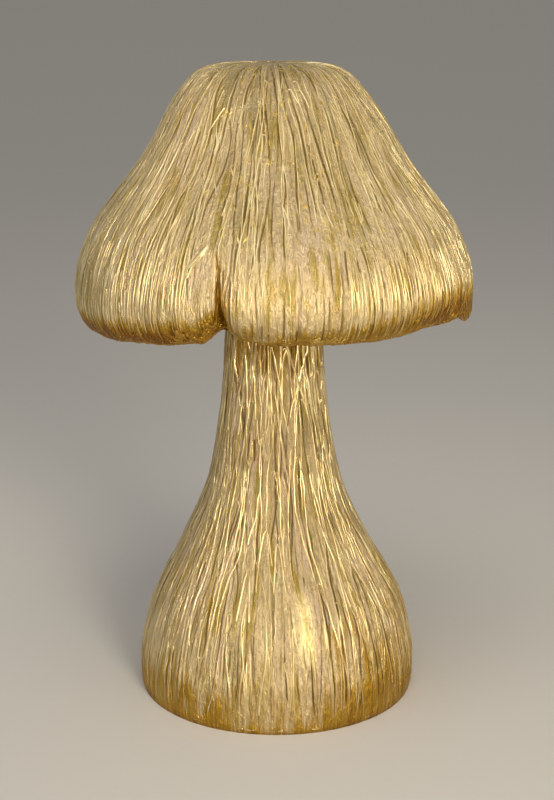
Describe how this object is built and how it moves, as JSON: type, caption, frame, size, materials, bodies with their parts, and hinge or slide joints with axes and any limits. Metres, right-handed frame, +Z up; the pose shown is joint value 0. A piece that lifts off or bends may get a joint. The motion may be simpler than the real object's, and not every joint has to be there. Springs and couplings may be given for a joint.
{
  "type": "decorative mushroom ornament",
  "caption": "Free-standing gilded mushroom ornament: a bell-shaped cap with a rolled hem and a front cleft, on a flared stem with a flat foot.",
  "frame": {"origin": "middle of the flat foot that the ornament stands on", "axes": "+Z up through the crown of the cap, -Y out of the front, where the cleft in the cap's hem is"},
  "size_m": [0.2792, 0.2794, 0.45],
  "materials": {
    "cap_gilding": "aged champagne gilding with umber glaze in its grooves, over cast resin",
    "stem_gilding": "aged champagne gilding with umber glaze in its grooves, over cast resin"
  },
  "bodies": {
    "root": {"cap": "cap_gilding", "stem": "stem_gilding"}
  },
  "joints": []
}
